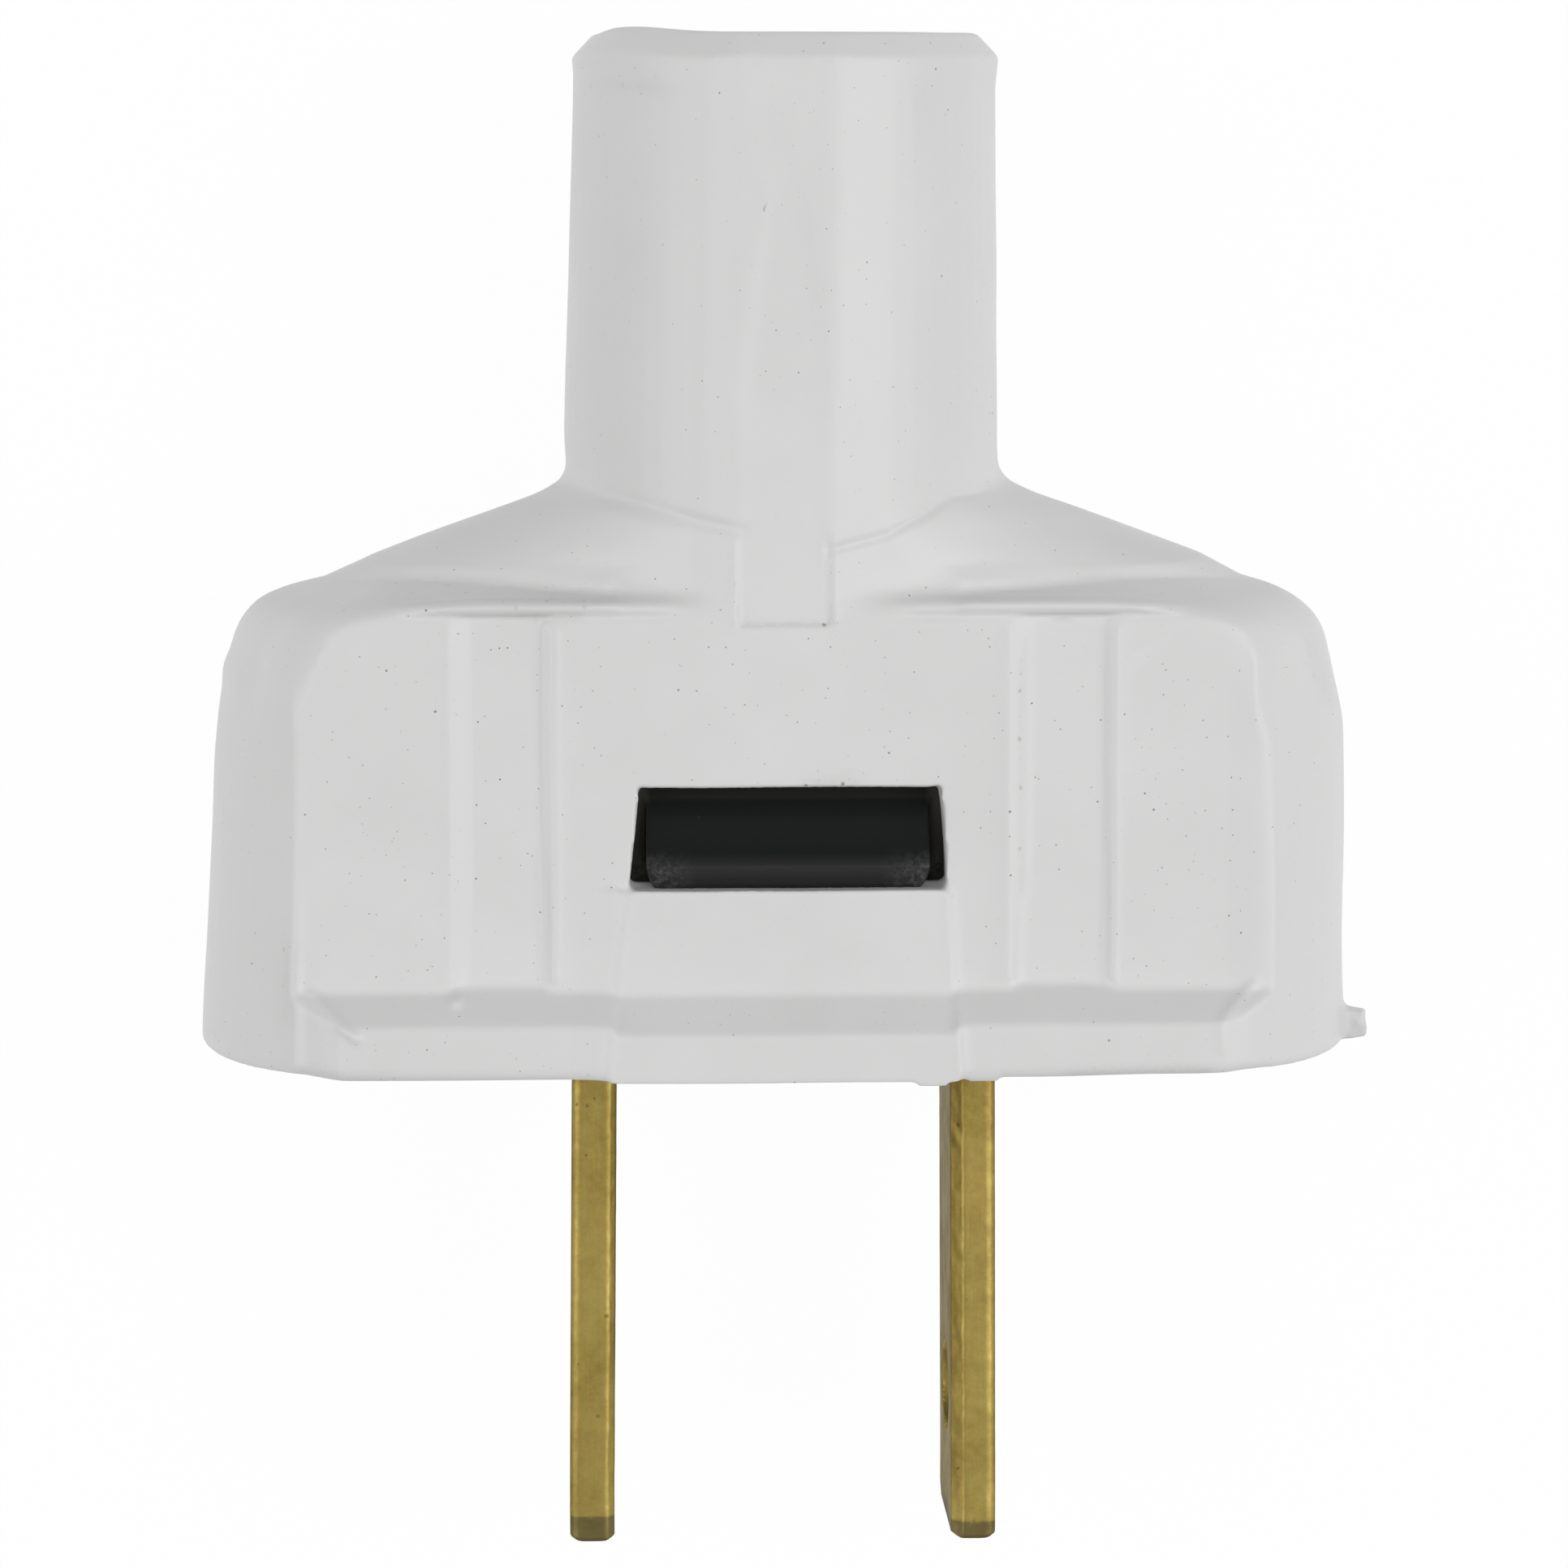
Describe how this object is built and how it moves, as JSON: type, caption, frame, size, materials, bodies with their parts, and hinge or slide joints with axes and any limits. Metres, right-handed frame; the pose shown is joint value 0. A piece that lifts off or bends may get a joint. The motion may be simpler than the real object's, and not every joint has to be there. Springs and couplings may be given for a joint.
{
  "type": "straight blade plug",
  "caption": "Flat two-wire cord plug: a soft housing with a round cord neck, latched over a stiff core that carries straight blades and screw terminals.",
  "frame": {"origin": "middle of the face that meets the outlet", "axes": "X across the blades, +Y from the face to the end of the cord neck, Z through the thickness; the plug lies on one of its flat sides"},
  "size_m": [0.0396, 0.0508, 0.0174],
  "materials": {
    "housing": "semi-gloss moulded white rubber",
    "core": "black moulded nylon",
    "blades": "tarnished stamped brass",
    "screws": "zinc plated",
    "washers": "zinc plated"
  },
  "bodies": {
    "root": {"housing": "housing", "core": "core", "blade_line": "blades", "blade_neutral": "blades", "terminal_screw_line": "screws", "terminal_screw_neutral": "screws", "clamp_washer_line": "washers", "clamp_washer_neutral": "washers"}
  },
  "joints": []
}
